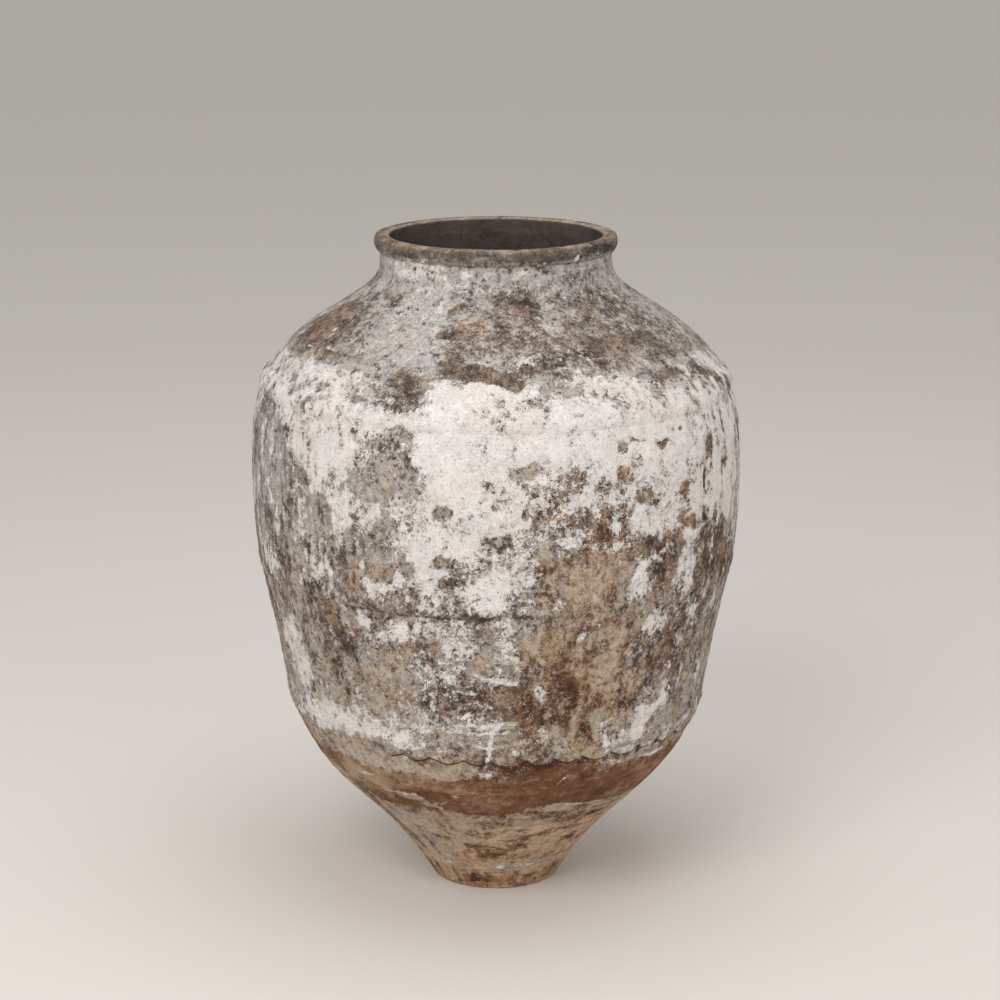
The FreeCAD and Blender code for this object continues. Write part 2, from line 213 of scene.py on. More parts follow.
limeWash = {
    "seed": 200, "grain": 0.4, "grainSize": 48, "layers": 4, "patch": 0.4,
    "byHeight": [
        (0, 0.0), (25, 0.0), (37, 0.3), (50, 0.0), (75, 0.05), (100, 0.15), (128, 0.3), (141, 0.1),
        (150, -0.9), (190, -0.95), (200, -0.6), (216, 0.15), (230, 0.15), (300, 0.1), (430, 0.0),
        (560, 0.15), (690, 0.2), (705, -0.05), (740, -0.05), (780, 0.2), (810, 0.4), (814, 0.2),
        (818, -0.25), (826, -0.2), (829, 0), (830, 0),
    ],
    "spots": [
        (36, 746, 36, 32, -0.22), (-38, 798, 36, 14, 1), (12, 798, 12, 13, 0.35), (52, 796, 24, 13, 0.25),
        (-12, 818, 14, 7, 0.1), (-70, 728, 14, 24, -0.8), (-53, 706, 5, 6, -0.7), (-39, 728, 4, 4, -0.5),
        (-32, 742, 13, 40, 1), (-17, 761, 4, 5, -0.9), (-16, 745, 5, 4, -0.8), (-8, 744, 5, 5, -0.8),
        (-1, 734, 10, 16, -0.2), (8, 768, 10, 14, -0.3), (20.6, 756, 5, 18, 0.3), (38.6, 723, 9, 8, -0.7),
        (54, 721, 6, 6, -0.6), (50.4, 686, 6, 6, -0.6), (65, 682, 5, 7, -0.5), (-25, 676, 8, 20, -0.15),
        (-22.7, 696, 5, 5, -0.6), (38, 555, 30, 80, -0.45), (-25, 595, 8.5, 40, 0.1), (7, 601, 4, 9, -0.1),
        (17, 691, 6, 7, 0.3), (-65, 560, 15, 110, 0.25), (-62, 470, 14, 50, 0.05), (-68, 415, 10, 25, -0.2),
        (20, 462, 11, 42, 0.05), (42.8, 471, 4, 32, -0.35), (61, 455, 10, 26, -0.3),
        (-45, 400, 14, 30, -0.05), (-40, 355, 8, 40, -0.15), (-30, 320, 12, 40, 0.1),
        (-9, 315, 9, 26, -0.25), (5, 300, 6, 50, -0.3), (22, 340, 13, 90, -0.15), (30, 345, 4, 30, 0.2),
        (50, 350, 12, 45, -0.3), (-64, 345, 9, 60, 0.5), (-40, 268, 24, 24, 0.5), (-5, 262, 10, 18, 0.1),
        (40, 262, 14, 25, 0.25), (15, 217, 16, 14, -0.75), (-38, 222, 24, 11, 0.4), (48, 221, 14, 9, 0.3),
        (0, 178, 60, 16, -1), (20, 150, 10, 8, 0.3), (38, 143, 10, 9, 0.3), (-60, 165, 14, 26, 0.1),
        (-3, 72, 12, 15, -0.45), (-2, 95, 8, 6, -0.2), (35, 105, 12, 40, 0.0), (-35, 75, 12, 34, 0.45),
        (-9, 18, 8, 6, -0.6), (30, 62, 8, 16, 0.3), (-29, 165, 8, 6, 0.35), (-20, 161, 5, 4, 0.25),
        (-14, 172, 2, 3, 0.2), (-27, 213, 22, 8, 0.8), (-3, 211, 8, 5, 0.1), (8.3, 325, 2.8, 50, -0.35),
        (27.7, 385, 4, 15, 0.25), (26.8, 287, 2.4, 10, 0.6), (18.5, 318, 2.2, 19, -0.4),
        (16.2, 293, 3.2, 12, -0.4), (23.6, 262, 2, 12, -0.45), (34.5, 300, 3.2, 6, -0.4),
        (-3, 72, 15, 17, -0.3), (-4.9, 101, 8, 5, -0.2), (-16, 80, 4, 8, -0.4), (7.6, 72, 7, 7, -0.45),
        (-0.6, 59, 12, 5, -0.6), (11.5, 91, 4, 7, -0.4), (44, 76, 4, 8, -0.5), (34, 55, 5, 6, -0.3),
        (-16, 18, 15, 9, -0.5), (39, 14, 12, 7, -0.4), (39, 127, 5, 9, -0.7), (30, 128, 7, 9, -0.35),
        (-31, 135, 4, 7, -0.6), (-36, 97, 12, 32, 0.3), (8, 130, 8, 8, 0.3), (23, 142, 7, 4, 0.6),
        (28, 85, 8, 17, 0.45), (-46, 45, 15, 20, 0.75), (0, 84, 6, 6, 0.5), (-2, 120, 14, 14, 0.2),
        (-12, 96, 6, 8, 0.3), (16, 110, 8, 9, 0.5), (14, 62, 7, 8, 0.4),
    ],
    "sweeps": [
        (-60, 40, 60, 37, 5, 1.1), (17, 155, 38, 150, 3, 0.7), (-46, 189, -39, 190, 3, 0.4),
        (-8.1, 358, -3.4, 343, 3, 1), (-3.4, 343, 1, 338, 3, 1), (1, 338, 4.8, 335, 2.6, 0.9),
        (-2.7, 395, -0.9, 379, 3, 0.8), (-0.9, 379, 2.1, 367, 3.2, 0.8), (2.1, 367, 5.2, 366, 2.8, 0.7),
        (-11.3, 331, -4.9, 322, 1.8, 0.7), (-6, 285, 4, 283, 2, 1.1), (-6, 279, 4, 277, 1.8, 1.1),
        (-7, 272, 3, 270, 1.8, 1), (30, 227, 62, 246, 2, 0.6), (36, 238, 62, 257, 2.4, 0.5),
        (-12, 268, 6, 265, 1.6, 0.6), (-10, 258, 8, 256, 1.6, 0.6), (-26.5, 771, -24, 751, 1, -0.6),
        (-12, 709, 9, 690, 7, -0.9), (-38, 172, -24, 168, 3, 0.7), (-24, 168, -19, 150, 2.6, 0.6),
        (-19, 150, -14, 112, 2, 0.5),
    ],
}
darkDirtAndShade = {
    "seed": 300, "grain": 0.45, "grainSize": 26, "layers": 3, "patch": 0.2,
    "byHeight": [
        (0, -0.5), (150, -0.9), (205, -0.8), (240, -0.5), (300, -0.4), (440, -0.36), (520, -0.5),
        (690, -0.55), (720, -0.42), (790, -0.45), (815, -0.3), (826, -0.35), (829, -0.7),
    ],
    "spots": [
        (0.4, 776, 3, 5, 0.05), (9, 772, 5, 7, 0.1), (3.5, 756, 3, 2.5, 0.1), (16.7, 713, 4, 5, 0.1),
        (-8, 797, 3, 8, -0.1), (-29.4, 630, 5, 4, -0.05), (-56.5, 610, 2, 10, 0), (-55.8, 524, 1.6, 13, 0),
        (-38, 566, 3, 4, 0), (-34, 540, 2.6, 6, 0), (-46.5, 488, 2.4, 9, -0.05), (-37.7, 484, 2.4, 6, 0),
        (-11, 548, 2.4, 7, -0.05), (-10.7, 488, 2.2, 7, 0), (-9, 464, 2.6, 9, 0.02), (-13.6, 447, 2, 5, 0),
        (-5.8, 421, 4, 5, 0.1), (-3.7, 395, 3, 6, 0), (0, 514, 3.4, 12, 0), (11.8, 487, 3, 8, 0.05),
        (42.8, 471, 4, 28, -0.1), (61, 458, 8, 20, -0.2), (56.5, 480, 1.6, 18, -0.1),
        (65, 482, 2, 20, -0.15), (58.3, 596, 1.2, 12, 0.1), (46.4, 629, 0.9, 3.5, 0.2),
        (6, 544, 1, 6, 0.05), (55.2, 559, 0.9, 12, 0.05), (5.7, 483, 2, 7, -0.05), (30, 467, 1.4, 7, -0.05),
        (30.2, 527, 2.4, 14, -0.15), (25.2, 526, 2.2, 20, -0.2), (36.4, 495, 4, 8, -0.1),
        (-36.5, 375, 2.5, 7, 0.2), (-38, 362, 4, 20, -0.05), (-50, 325, 3.5, 17, 0),
        (-41, 302, 1.2, 5, 0.4), (-54, 396, 1.5, 5, 0), (-48, 395, 2, 6, 0), (-42, 409, 1.5, 5, 0),
        (40, 340, 8, 36, -0.15), (19, 300, 3, 25, -0.15), (32, 401, 2.4, 7, 0.05), (48, 404, 4, 8, -0.05),
        (33, 262, 1.6, 8, 0), (27, 257, 3, 8, 0), (-25, 600, 6, 30, -0.25), (20, 455, 9, 36, -0.36),
        (22, 340, 11, 60, -0.4), (-9, 315, 9, 26, -0.15), (2, 440, 6, 18, -0.1), (-2, 66, 8, 7, -0.4),
        (11.4, 484, 1.5, 7, 0.1), (23, 447, 0.9, 4, 0.1), (31.9, 400, 1.2, 7, 0.15),
        (23.6, 262, 1.6, 10, 0), (37.4, 356, 3.4, 13, -0.05), (7, 349, 1.2, 7, 0.05),
        (-27, 213, 20, 8, -0.8), (-27, 622, 5, 3, -0.05), (-18.5, 600, 2, 16, -0.1), (-33, 566, 3, 3, 0.05),
        (-0.6, 57, 8, 4, -0.4),
    ],
    "sweeps": [],
}
clayTone = {
    "seed": 600, "grain": 0.7, "grainSize": 54, "layers": 4, "patch": 0.2,
    # the tone's rise at the rim's top (829 to 830) is a painted highlight
    "byHeight": [
        (0, 0.85), (40, 0.75), (100, 0.6), (150, -0.1), (205, 0), (240, 0), (810, 0), (816, -0.1),
        (826, -0.05), (829, 0.25), (830, 0.3),
    ],
    "spots": [
        (20, 462, 11, 40, 0.4), (12, 395, 4, 25, 0.45), (30, 340, 4, 35, 0.35), (22, 420, 8, 20, 0.35),
        (20, 330, 4, 20, 0.25), (19, 300, 3, 25, -0.25), (9, 330, 4, 40, -0.2), (16, 275, 6, 20, 0.15),
        (-9, 315, 9, 26, -0.35), (-5, 350, 8, 25, -0.3), (-30, 330, 9, 40, 0.3), (50, 350, 12, 42, -0.1),
        (42.8, 471, 3.6, 30, -0.15), (61, 465, 10, 26, -0.1), (60, 425, 15, 20, -0.15),
        (5, 180, 25, 18, -0.1), (-20, 194, 16, 14, 0.6), (-42, 188, 14, 16, 0.7), (32, 180, 12, 20, -0.15),
        (-70, 728, 14, 24, 0.05), (8, 760, 12, 22, -0.1), (16.7, 713, 5, 8, -0.4), (-25, 595, 8.5, 40, 0.5),
        (7, 601, 4, 9, 0.15), (17, 691, 6, 7, 0.5), (-3, 72, 12, 15, -0.25), (20.6, 756, 5, 18, 0.3),
        (11.4, 484, 1.6, 8, -0.6), (14.1, 493, 2.4, 12, 0.5), (13.2, 438, 2.5, 8, -0.6),
        (19.6, 460, 1.5, 22, 0.5), (31.9, 400, 1.3, 8, -0.9), (27.7, 385, 4, 15, 0.55),
        (25.3, 373, 1.8, 10, -0.45), (23.4, 367, 2.6, 9, -0.5), (37.4, 356, 3.8, 15, -0.7),
        (26.7, 339, 5, 14, 0.55), (22.2, 336, 2, 12, -0.05), (12.2, 380, 3.6, 24, 0.5),
        (18.5, 318, 2.2, 19, -0.5), (12.2, 315, 1.3, 12, -0.5), (16.2, 293, 3.2, 12, -0.5),
        (23.6, 262, 2, 12, -0.6), (39, 315, 3.2, 12, -0.4), (34.5, 300, 3.2, 6, -0.8),
        (8.3, 325, 2.6, 50, -0.3), (-4.9, 101, 8, 5, 0.1), (-16, 80, 4, 8, 0.1), (-3, 72, 15, 17, 0.35),
        (7.6, 72, 7, 7, 0.3), (-0.6, 58, 13, 5, 0.0), (11.5, 91, 4, 7, -0.2), (44, 76, 4, 8, -0.3),
        (-16, 18, 15, 9, 0), (39, 127, 5, 9, -0.6), (-27, 213, 20, 8, 0.8), (-17, 761, 4, 5, 0),
        (-60, 165, 14, 20, 0.3), (52, 819, 24, 8, -0.6), (-2, 120, 14, 14, 0.4), (0, 84, 8, 7, 0.5),
    ],
    "sweeps": [(-12, 709, 9, 690, 7, 0)],
}
ochreStain = {
    "seed": 400, "grain": 0.35, "grainSize": 22, "layers": 2, "patch": 0.2,
    "byHeight": [(0, -0.6), (230, -0.45), (300, -0.4), (430, -0.45), (700, -0.5), (830, -0.8)],
    "spots": [
        (-25, 560, 1.6, 8, 0.45), (-26, 475, 3, 14, 0.3), (-25, 315, 5, 9, 0.4), (21.3, 244, 2.2, 7, 0.7),
        (61, 232, 3, 8, 0.5), (45, 238, 2, 8, 0.4), (16, 690, 5, 8, 0.12), (15, 390, 6, 30, 0.1),
        (14, 545, 1.4, 4, 0.5), (24, 345, 3, 25, 0.15), (57, 305, 4, 8, 0.3), (-55, 288, 4, 5, 0.3),
        (40.7, 620, 2, 5, 0.3), (20.4, 425, 1.2, 6, 0.45), (22.2, 336, 2, 12, 0.3),
        (19.6, 460, 1.4, 20, 0.2), (12.2, 380, 3, 18, 0.15), (-24, 562, 1.6, 7, 0.3),
        (-24, 530, 1.8, 10, 0.2),
    ],
    "sweeps": [],
}
bareWarmth = {
    "seed": 500, "grain": 0.2, "grainSize": 40, "layers": 2, "patch": 0.1,
    "byHeight": [
        (0, 1.0), (60, 0.9), (100, 0.8), (145, 1), (200, 1.05), (225, 0.8), (250, 0.6), (420, 0.5),
        (560, 0.3), (700, 0.32), (780, 0.15), (795, 0.0), (810, 0.05), (818, 0.15), (827, 0.35), (830, 0.7),
    ],
    "spots": [
        (38, 545, 30, 90, 0.65), (22, 340, 14, 90, 0.9), (20, 462, 11, 40, 0.75), (60, 455, 12, 40, 0.65),
        (38.6, 723, 9, 8, 0.4), (-70, 728, 14, 24, 0.4), (6, 745, 16, 24, 0.38), (35, 110, 20, 50, 1.15),
        (-40, 90, 16, 50, 0.55), (37.4, 356, 4, 15, 0.4), (8.3, 325, 4, 50, 0.75), (-25, 595, 9, 45, 0.35),
        (-68, 560, 12, 120, 0), (-17, 761, 4, 5, 0.4), (-42, 213, 17, 10, 0.45), (-38, 268, 20, 20, 0.85),
    ],
    "sweeps": [(-26.5, 771, -24, 751, 1.2, 0.9)],
}
finishes = {"limeCrust": limeCrust, "limeWash": limeWash, "darkDirtAndShade": darkDirtAndShade, "ochreStain": ochreStain,
            "bareWarmth": bareWarmth, "clayTone": clayTone}


def fieldOf(finish, angle, height, bentAngle, bentHeight, patch, stretched):
    levels = np.array(finish["byHeight"])
    value = np.interp(height, levels[:, 0], levels[:, 1]) + finish["patch"] * patch
    perDegree = wallRadius(height) * math.pi / 180
    for at, level, halfWide, halfHigh, strength in finish["spots"]:
        near = np.hypot((bentAngle - at) / halfWide, (bentHeight - level) / halfHigh)
        value += (strength - value) * (1 - smooth(near, 0.5, 1.45))
    for at, level, endAt, endLevel, half, strength in finish["sweeps"]:
        run = np.array(((endAt - at) * perDegree.mean(), endLevel - level))
        x, y = ((angle + bentAngle) / 2 - at) * perDegree, (height + bentHeight) / 2 - level
        share = np.clip((x * run[0] + y * run[1]) / max(run @ run, 1e-9), 0, 1)
        near = np.hypot(x - share * run[0], y - share * run[1]) / half
        value += (strength - value) * (1 - smooth(near, 0.4, 1.6))
    grain = clouds(stretched, finish["grainSize"], finish["layers"], 0.8, finish["seed"])
    return value + finish["grain"] * grain


# Relief of the outside in millimetres along the wall's normal. Unevenness is (depth, size, seed).
wallRelief = {
    "inset": 0.9, "unevenness": [(1.1, 170, 21), (0.5, 52, 22), (0.3, 19, 23)], "crust": 1.0, "pits": 0.9,
    "ridge": 0.35, "ridgePitch": 15, "combing": 0.55, "combPitch": 9, "combed": (234, 242, 268, 284),
    "ledge": 0.8, "ledged": (40, 70, 70, 74),
}


def reliefOf(angle, height, points, fields):
    crust = smooth(fields["limeCrust"], -0.1, 0.16)
    depth = -wallRelief["inset"]
    for share, size, seed in wallRelief["unevenness"]:
        depth = depth + share * cloud(points, size, seed)
    turning = np.sin(2 * math.pi * height / wallRelief["ridgePitch"] + 2.5 * cloud(points, 140, 24))
    depth += wallRelief["ridge"] * turning * (1 - 0.7 * crust) * (0.5 + cloud(points, 90, 25))
    comb = np.sin(2 * math.pi * height / wallRelief["combPitch"] + 1.5 * cloud(points, 90, 28))
    depth += wallRelief["combing"] * comb * within(height, *wallRelief["combed"])
    depth += wallRelief["crust"] * crust * (0.75 + 0.5 * cloud(points, 15, 26))
    depth -= wallRelief["pits"] * smooth(cloud(points, 8, 27), 0.5, 0.95) * (1 - 0.5 * crust)
    depth += wallRelief["ledge"] * smooth(-angle, 5, 30) * within(height, *wallRelief["ledged"])
    return depth


# A closed profile turned once round the axis: a coarse spin, whose hoops are then cut finer
keptNames = ("keptRadius", "keptHeight")


def closedRing(name, profile, steps, cuts):
    build = bmesh.new()
    kept = [build.verts.layers.float.new(key) for key in keptNames]
    corners = [build.verts.new((radius * mm, 0, height * mm)) for radius, height in profile]
    for corner, place in zip(corners, profile):
        for layer, value in zip(kept, place):
            corner[layer] = value
    rails = [build.edges.new(pair) for pair in zip(corners, corners[1:] + corners[:1])]
    bmesh.ops.spin(build, geom=corners + rails, cent=(0, 0, 0), axis=(0, 0, 1), angle=2 * math.pi,
                   steps=steps, use_merge=True)
    bmesh.ops.remove_doubles(build, verts=build.verts, dist=1e-6)
    hoops = [edge for edge in build.edges
             if all(abs(edge.verts[0][layer] - edge.verts[1][layer]) < 1e-5 for layer in kept)]
    bmesh.ops.subdivide_edges(build, edges=hoops, cuts=cuts, use_grid_fill=True)
    bmesh.ops.recalc_face_normals(build, faces=build.faces)
    mesh = bpy.data.meshes.new(name)
    build.to_mesh(mesh)
    build.free()
    return mesh


def placesOf(mesh):
    count = len(mesh.vertices)
    flat = np.empty(count * 3, np.float32)
    mesh.vertices.foreach_get("co", flat)
    kept = []
    for name in keptNames:
        values = np.empty(count, np.float32)
        mesh.attributes[name].data.foreach_get("value", values)
        mesh.attributes.remove(mesh.attributes[name])
        kept.append(values.astype(float))
    angle = np.degrees(np.arctan2(flat[0::3], -flat[1::3]))
    return kept[0], angle.astype(float), kept[1]


def finishMesh(mesh, radius, angle, height, fields):
    turn = np.radians(angle)
    places = np.stack((radius * np.sin(turn), -radius * np.cos(turn), height), axis=1) * mm
    mesh.vertices.foreach_set("co", places.astype(np.float32).ravel())
    for name, values in fields.items():
        layer = mesh.attributes.new(name, "FLOAT", "POINT")
        layer.data.foreach_set("value", np.clip(values, -1.5, 1.5).astype(np.float32))
    mesh.update()


# How the finishes lie: strokes round the foot, runs down the sides of the belly, smears low on the right
laying = {
    "climb": [(0, 0), (300, 180), (450, 290), (690, 520), (830, 740)],  # streaks low down, smears high up
    "crustEdgeShadeAndDirt": 0.2, "strokeWash": 0.65, "strokeTone": 0.4,
    "runs": {"limeCrust": 0.65, "limeWash": 0.6, "darkDirtAndShade": -0.25},
    "smears": {"clayTone": 0.5, "limeWash": 0.35},
}


def bendOf(points, seed):
    return 11 * cloud(points, 42, seed) + 5 * cloud(points, 15, seed + 1)


def fieldsAt(angle, height, shade):
    radius = wallRadius(height)
    turn = np.radians(angle)
    facing = np.stack((np.sin(turn), -np.cos(turn)), axis=1)
    across = radius[:, None] * facing
    points = np.column_stack((across, height))
    stretched = np.column_stack((across, np.interp(height, *zip(*laying["climb"]))))
    patch = (0.25 + 0.75 * smooth(np.abs(angle), 60, 85)) * cloud(points, 130, 11)
    bentAngle = angle + bendOf(points, 12) / (radius * math.pi / 180)
    bentHeight = height + bendOf(points, 14)
    fields = {name: fieldOf(finish, angle, height, bentAngle, bentHeight, patch, stretched)
              for name, finish in finishes.items()}
    # painted shade and dirt at the edges of the lime crust, where the crust field is near zero
    fields["darkDirtAndShade"] += laying["crustEdgeShadeAndDirt"] * (1 - smooth(np.abs(fields["limeCrust"]), 0, 0.4))
    around = 120 * facing
    brushed = smooth(-angle, 4, 22)  # brushed down the left of the foot, laid in level coats elsewhere
    strokes = brushed * clouds(np.column_stack((around, height * 0.14)), 11, 3, 0.7, 16)
    strokes += (1 - brushed) * clouds(np.column_stack((around * 0.28, height)), 9, 3, 0.7, 18)
    fields["limeWash"] += laying["strokeWash"] * strokes * (1 - smooth(height, 140, 215))
    fields["clayTone"] += laying["strokeTone"] * strokes * (1 - smooth(height, 125, 150))
    runs = (smooth(-angle, 28, 48) + smooth(angle, 42, 60)) * within(height, 300, 400, 660, 700)
    runs = runs * clouds(np.column_stack((across, height * 0.22)), 13, 3, 0.75, 17)
    smears = within(angle, 2, 14, 60, 80) * within(height, 236, 262, 440, 500)
    smears = smears * clouds(np.column_stack((across, height * 0.3)), 17, 3, 0.7, 19)
    for marks, shares in ((runs, laying["runs"]), (smears, laying["smears"])):
        for name, share in shares.items():
            fields[name] += share * marks
    fields["inside"] = shade.astype(float)
    return points, fields


def addPiece(name, mesh, node, slot, material):
    piece = bpy.data.objects.new(name, mesh)
    scene.collection.objects.link(piece)
    mesh.shade_smooth()
    mesh.set_sharp_from_angle(angle=math.radians(70))
    mesh.materials.append(material)
    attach(piece, "root")
    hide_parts(node)
    print("made", name, len(mesh.polygons), "faces")


# Materials
def toLinear(red, green, blue):
    parts = [part / 255 for part in (red, green, blue)]
    return [part / 12.92 if part < 0.04045 else ((part + 0.055) / 1.055) ** 2.4 for part in parts] + [1]


class Weave:
    def __init__(self, name):
        self.material = bpy.data.materials.new(name)
        self.material.use_nodes = True
        self.nodes = self.material.node_tree.nodes
        self.links = self.material.node_tree.links
        self.nodes.clear()
        self.place = self.node("TexCoord", {})["Object"]

    def node(self, kind, inputs, **settings):
        made = self.nodes.new("ShaderNode" + kind)
        for key, value in settings.items():
            setattr(made, key, value)
        for key, value in inputs.items():
            if isinstance(value, bpy.types.NodeSocket):
                self.links.new(value, made.inputs[key])
            else:
                made.inputs[key].default_value = value
        return made.outputs

    def calc(self, operation, first, second):
        return self.node("Math", {0: first, 1: second}, operation=operation)[0]

    def times(self, first, second):
        return self.calc("MULTIPLY", first, second)

    def stack(self, total, *parts):  # the total plus each part times its share
        for part, share in parts:
            total = self.calc("ADD", total, self.times(part, share))
        return total

    def ramp(self, value, low, high, start=0.0, end=1.0):
        inputs = {"Value": value, "From Min": low, "From Max": high, "To Min": start, "To Max": end}
        return self.node("MapRange", inputs, interpolation_type="SMOOTHSTEP")["Result"]

    def grain(self, size, detail, rough, stretch=None):
        place = self.place
        if stretch:
            place = self.node("Mapping", {"Vector": place, "Scale": stretch})["Vector"]
        inputs = {"Vector": place, "Scale": 1 / (size * mm), "Detail": detail, "Roughness": rough}
        noise = self.node("TexNoise", inputs)["Fac"]
        return self.times(self.calc("SUBTRACT", noise, 0.5), 4.0)  # about -1 to 1

    def cells(self, size):  # three random levels for each crumb of a size
        scale = 1 / (size * mm)
        reach = (5 * size * mm,) * 3
        waver = self.node("TexNoise", {"Vector": self.place, "Scale": scale, "Detail": 3})["Color"]
        shift = self.node("VectorMath", {0: waver, 1: reach, 2: self.place}, operation="MULTIPLY_ADD")
        crumb = self.node("TexVoronoi", {"Vector": shift["Vector"], "Scale": scale})["Color"]
        levels = self.node("SeparateColor", {"Color": crumb})
        return [self.times(self.calc("SUBTRACT", level, 0.5), 2.0) for level in levels]

    def field(self, name):
        return self.node("Attribute", {}, attribute_name=name)["Fac"]

    def mix(self, share, first, second):
        return self.node("Mix", {0: share, 6: first, 7: second}, data_type="RGBA")[2]

    def brighten(self, colour, amount):
        return self.node("HueSaturation", {"Value": amount, "Color": colour})["Color"]

    def shades(self, value, colours):
        node = self.nodes.new("ShaderNodeValToRGB")
        stops = node.color_ramp.elements
        while len(stops) < len(colours):
            stops.new(0.5)
        for index, colour in enumerate(colours):
            stops[index].position = index / (len(colours) - 1)
            stops[index].color = toLinear(*colour)
        self.links.new(value, node.inputs["Fac"])
        return node.outputs["Color"]


tintNames = ("greyWash", "warmWash", "thinLime", "fullLime", "warmLime", "pore", "ochre", "dirtAndShade", "inside")


def limedClay(name, look):
    weave = Weave(name)
    stack, times, ramp, mix, grain = weave.stack, weave.times, weave.ramp, weave.mix, weave.grain
    tints = {key: toLinear(*look[key]) for key in tintNames}
    washField = weave.field("limeWash")
    warmField = weave.field("bareWarmth")
    crumbs = grain(9, 4, 0.65)
    speckle = grain(8, 4, 0.65)
    soot = grain(6.5, 3, 0.6)
    grit = grain(1.5, 3, 0.65)
    blotch = grain(24, 4, 0.6)
    streak = grain(8, 4, 0.65, look["streak"])
    turned = grain(6, 4, 0.6, (0.12, 0.12, 1))
    drift = grain(60, 3, 0.55)
    fine = weave.cells(3.2)
    coarse = weave.cells(7)
    dust = weave.cells(2.5)
    crustLevel = stack(weave.field("limeCrust"), (crumbs, 0.3), (fine[0], 0.24), (coarse[0], 0.2),
                       (grit, 0.16))
    crust = ramp(crustLevel, -0.05, 0.07)
    thick = ramp(crustLevel, 0.0, 0.6)

    # Clay, grey or warm, smoother where it is bare
    warmth = ramp(stack(warmField, (blotch, 0.15), (coarse[1], 0.2)), 0, 1)
    bare = times(ramp(warmField, 0.7, 1.0), ramp(washField, -0.7, -0.3, 1.0, 0.0))
    rough = stack(times(fine[1], 0.7 * look["speckle"]), (coarse[1], look["speckle"]),
                  (blotch, 0.3), (streak, 0.14), (grit, look["grit"]), (turned, 0.5 * look["coats"]))
    tone = stack(0.5, (weave.field("clayTone"), 0.42), (times(turned, bare), 0.14),
                 (rough, stack(1.0, (bare, -0.6))))
    clay = mix(warmth, weave.shades(tone, look["greyClay"]), weave.shades(tone, look["warmClay"]))

    # Thin wash over the clay, with dark and light specks
    washLevel = stack(washField, (speckle, 0.4), (blotch, 0.2), (fine[2], 0.22), (coarse[2], 0.18),
                      (streak, 0.25), (grit, 0.15), (turned, 1.4 * look["coats"]))
    washHaze = stack(washField, (blotch, 0.25), (streak, 0.2))
    wash = stack(times(ramp(washLevel, -0.14, 0.22), 0.72), (ramp(washHaze, -0.5, 0.8), 0.28))
    washLight = stack(1.0, (blotch, 0.16), (fine[0], 0.13), (speckle, 0.18), (streak, 0.12))
    washColour = weave.brighten(mix(warmth, tints["greyWash"], tints["warmWash"]), washLight)
    cover = ramp(speckle, -0.9, 0.3, 0.6 * look["washCover"], look["washCover"])
    colour = mix(times(wash, cover), clay, washColour)
    limed = times(ramp(washField, -0.8, -0.3), ramp(warmField, 0.5, 0.9, 1.0, 0.65))
    strewn = ((dust[0], soot, "pepper", "dirtAndShade"), (dust[1], crumbs, "salt", "thinLime"))
    for specks, clumps, share, tint in strewn:
        shown = times(ramp(specks, 0.4, 0.75), ramp(clumps, -0.35, 0.45))
        colour = mix(times(shown, times(limed, look[share])), colour, tints[tint])

    # Lime crust and its pores
    lime = mix(thick, tints["thinLime"], tints["fullLime"])
    lime = mix(ramp(drift, -0.2, 0.8, 0, 0.6), lime, tints["warmLime"])
    lime = weave.brighten(lime, stack(1.0, (blotch, 0.1), (grit, 0.13), (speckle, 0.1), (fine[1], 0.05)))
    pricks = times(ramp(dust[2], 0.6, 0.9), ramp(thick, 0.2, 1, 0.4, 0.1))
    colour = mix(crust, colour, mix(pricks, lime, tints["pore"]))
    pores = ramp(grain(2.2, 2, 0.5), 0.55, 0.85)
    colour = mix(times(pores, times(crust, 0.4)), colour, tints["pore"])

    # Stains, dirt with painted shade in crevices and at crust edges, and the dark inside
    ochre = ramp(stack(weave.field("ochreStain"), (speckle, 0.3)), 0.05, 0.6)
    colour = mix(times(ochre, 0.6), colour, tints["ochre"])
    # this dark colour is real dirt and also painted shade in the band crevices and at the crust's edges
    dirtAndShade = ramp(stack(weave.field("darkDirtAndShade"), (soot, 0.55), (fine[2], 0.16), (grit, 0.15)), 0.02, 0.22)
    colour = mix(times(dirtAndShade, 0.8), colour, tints["dirtAndShade"])
    hollow = weave.brighten(tints["inside"], stack(1.0, (blotch, 0.22), (drift, 0.2), (grit, 0.1)))
    colour = mix(weave.field("inside"), colour, hollow)

    bumps = stack(times(crust, 0.6), (fine[1], 0.12), (speckle, 0.2), (grit, 0.15), (pores, -0.35),
                  (dirtAndShade, -0.3), (turned, look["coats"]))
    bump = weave.node("Bump", {"Strength": look["bump"], "Distance": 1.2 * mm, "Height": bumps})["Normal"]
    roughness = ramp(stack(crust, (speckle, 0.15)), 0, 1, look["bareRough"], 0.96)
    shader = weave.node("BsdfPrincipled", {"Base Color": colour, "Normal": bump, "Roughness": roughness,
                                           "Specular IOR Level": look["shine"]})["BSDF"]
    weave.node("OutputMaterial", {"Surface": shader})
    return weave.material


wallLook = {
    "greyClay": [(56, 47, 41), (112, 100, 90), (164, 153, 142)],
    "warmClay": [(66, 39, 24), (120, 80, 52), (178, 152, 124)],
    "greyWash": (190, 186, 183), "warmWash": (190, 171, 148), "washCover": 0.85,
    "thinLime": (202, 196, 190), "fullLime": (234, 228, 224), "warmLime": (231, 219, 208),
    "pore": (120, 108, 96), "ochre": (182, 148, 102), "dirtAndShade": (63, 47, 37), "inside": (84, 74, 68),
    "bump": 0.95, "shine": 0.25, "bareRough": 0.8, "speckle": 0.32, "grit": 0.16, "pepper": 0.85,
    "salt": 0.65, "streak": (1, 1, 0.2), "coats": 0,
}
